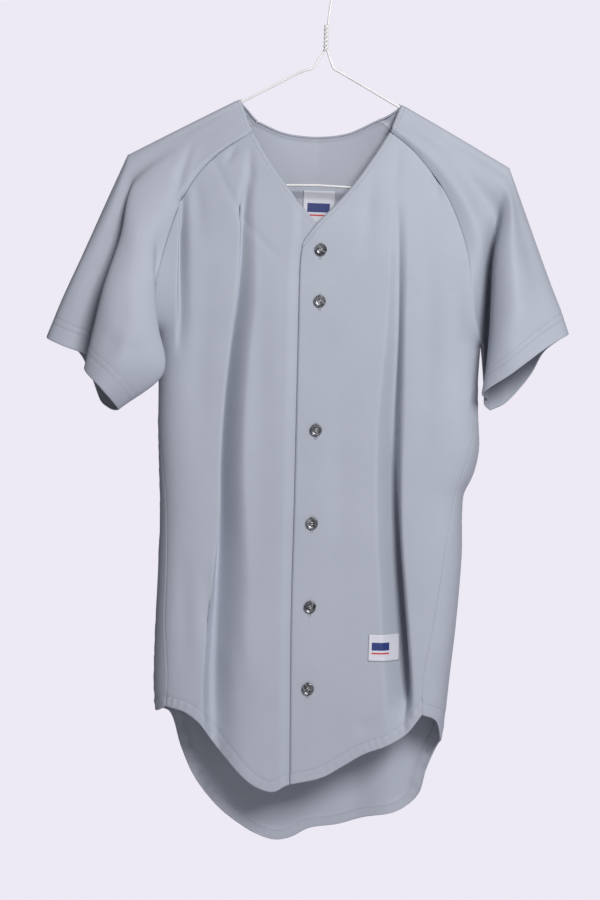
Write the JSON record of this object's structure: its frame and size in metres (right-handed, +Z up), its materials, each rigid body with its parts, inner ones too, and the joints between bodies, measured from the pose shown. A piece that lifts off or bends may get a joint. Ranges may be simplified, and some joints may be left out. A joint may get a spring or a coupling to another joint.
{
  "type": "baseball shirt on a wire hanger",
  "caption": "Plain V-neck button-front baseball shirt with raglan short sleeves and a shirt-tail hem, hanging on a bent wire hanger.",
  "frame": {"origin": "inner top of the hanger's hook, where a rod or wall hook carries it", "axes": "+Z up, the front of the shirt faces -Y, +X to the right as seen from the front"},
  "size_m": [0.548, 0.09, 0.9377],
  "materials": {
    "cloth": "matte double-knit polyester with a faint satin sheen",
    "button": "smoky pearl, polished",
    "label": "woven satin tape",
    "wire": "white enamel"
  },
  "bodies": {
    "root": {"front_left": "cloth", "front_right": "cloth", "back": "cloth", "sleeve_left": "cloth", "sleeve_right": "cloth", "button_1": "button", "button_2": "button", "button_3": "button", "button_4": "button", "button_5": "button", "button_6": "button", "neck_label": "label", "hem_label": "label", "hanger": "wire"}
  },
  "joints": []
}
